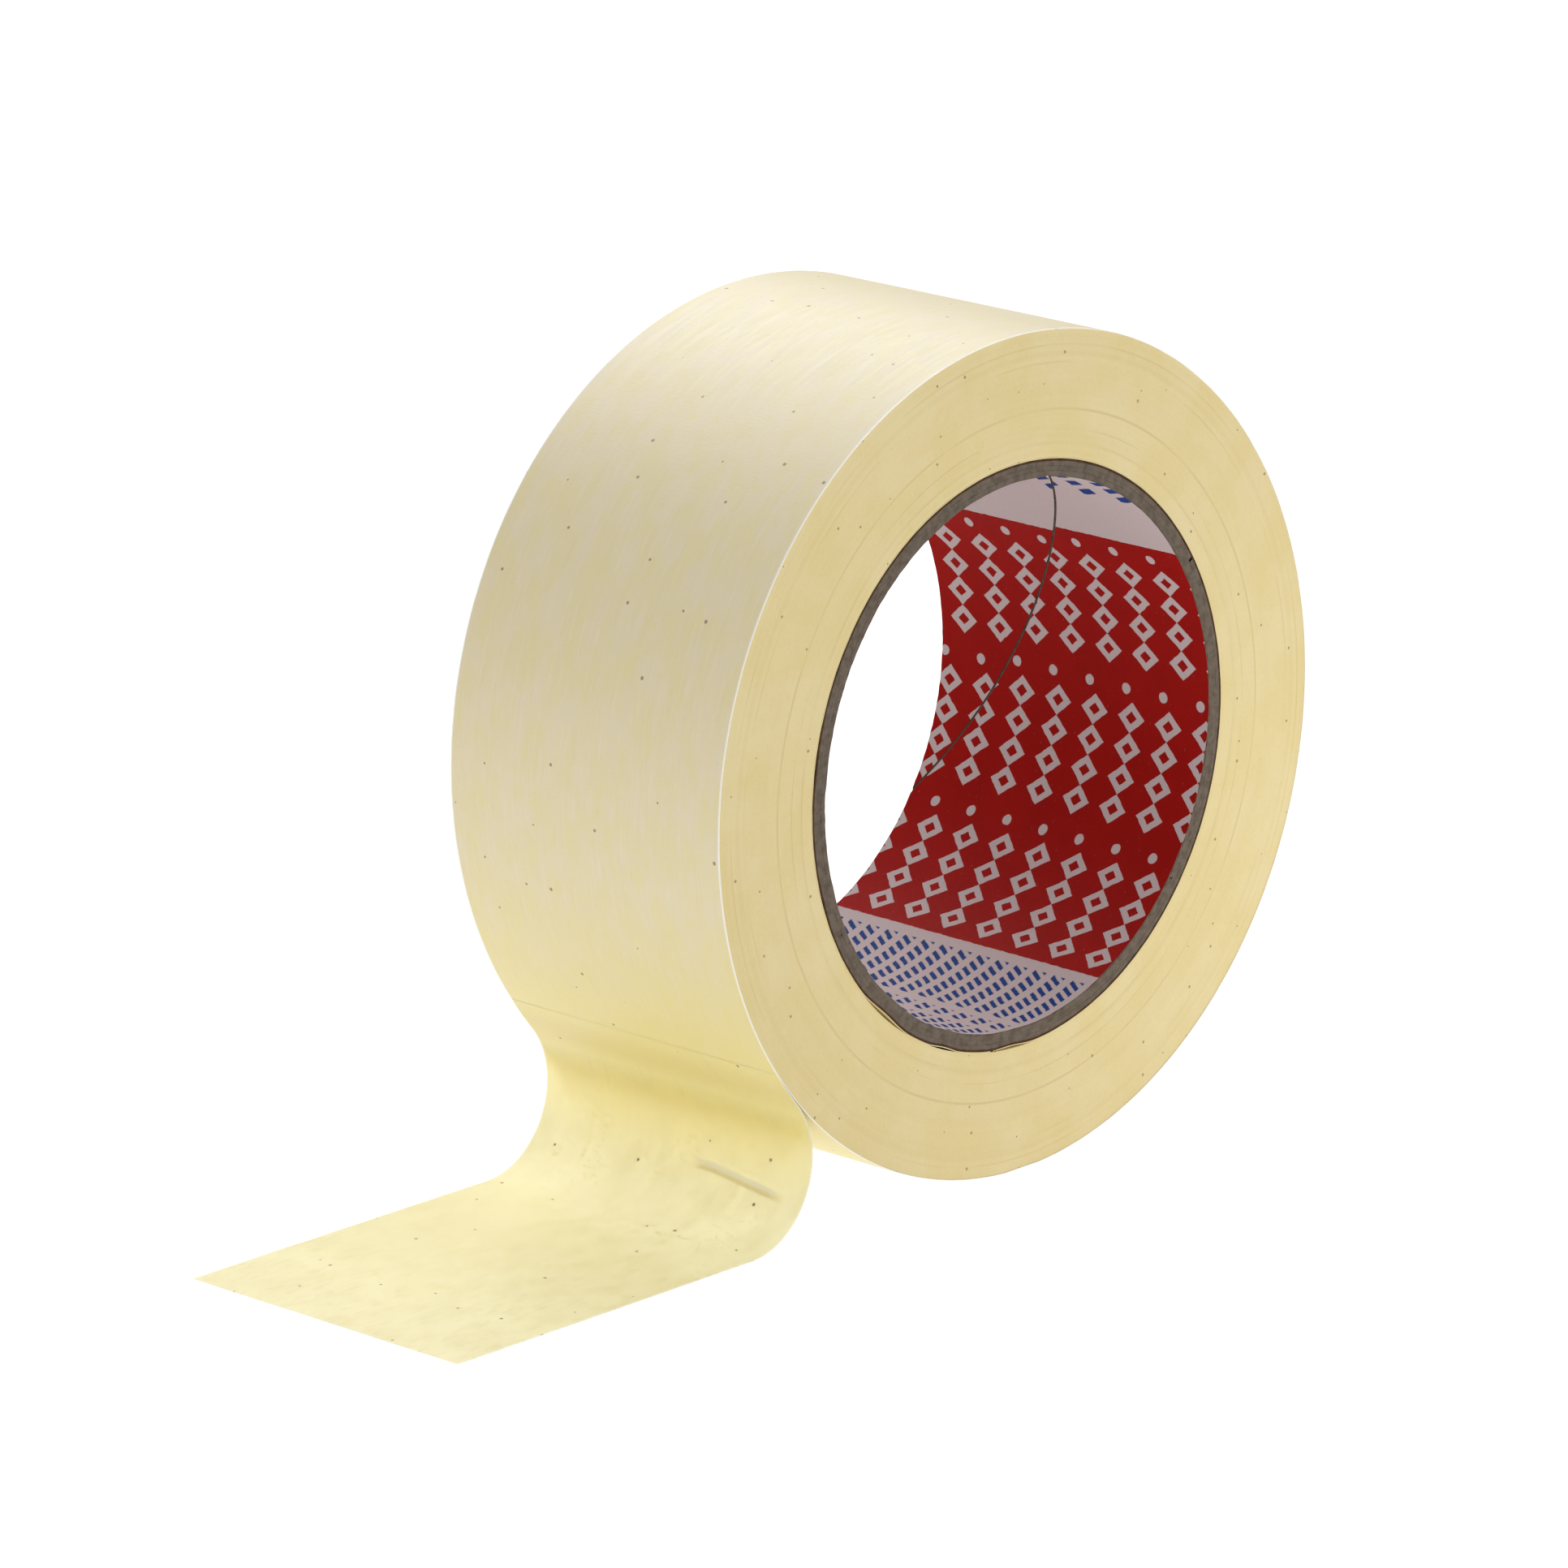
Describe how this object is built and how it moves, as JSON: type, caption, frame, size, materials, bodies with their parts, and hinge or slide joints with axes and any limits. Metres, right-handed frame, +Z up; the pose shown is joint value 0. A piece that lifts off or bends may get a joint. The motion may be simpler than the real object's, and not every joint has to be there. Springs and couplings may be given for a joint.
{
  "type": "masking tape roll",
  "caption": "Roll of 50 mm masking tape on a 76 mm spiral-wound board core, with its loose end peeled back and lying flat.",
  "frame": {"origin": "centre of the core's bore, halfway across the tape's width", "axes": "+Y along the bore, from the front face to the back face; +Z up; the loose end lies towards -X, so +X is the longest direction"},
  "size_m": [0.166, 0.05, 0.1167],
  "materials": {
    "printed_liner": "white paper with a red band and blue marks, satin",
    "core_board": "grey recycled paperboard, matt, cut ends fibrous",
    "kraft_wrap": "brown kraft paper, matt",
    "crepe_paper": "fine creped cream-yellow paper, satin",
    "wound_edge": "slit edges of the wound turns, matt",
    "adhesive": "thin pale rubber adhesive, slightly glossy"
  },
  "bodies": {
    "roll": {"core_liner": "printed_liner", "core_board_inner": "core_board", "core_board_middle": "core_board", "core_board_outer": "core_board", "core_wrap": "kraft_wrap", "first_turn": "crepe_paper", "wound_tape": "wound_edge", "last_turn": "crepe_paper"},
    "tail_fold": {"tail_fold_paper": "crepe_paper", "tail_fold_adhesive": "adhesive"},
    "tail_flat": {"tail_flat_paper": "crepe_paper", "tail_flat_adhesive": "adhesive"},
    "tail_tip": {"tail_tip_paper": "crepe_paper", "tail_tip_adhesive": "adhesive"}
  },
  "joints": [
    {"name": "unwind", "type": "hinge", "parent": "roll", "child": "tail_fold", "pos_m": [0, 0, 0], "axis": [0, 1, 0], "continuous": true},
    {"name": "tail_lift", "type": "hinge", "parent": "tail_fold", "child": "tail_flat", "pos_m": [-0.05336, 0, -0.05823], "axis": [0, 1, 0], "range_deg": [0, 60]},
    {"name": "tail_curl", "type": "hinge", "parent": "tail_flat", "child": "tail_tip", "pos_m": [-0.08028, 0, -0.05823], "axis": [0, 1, 0], "range_deg": [0, 40]}
  ]
}
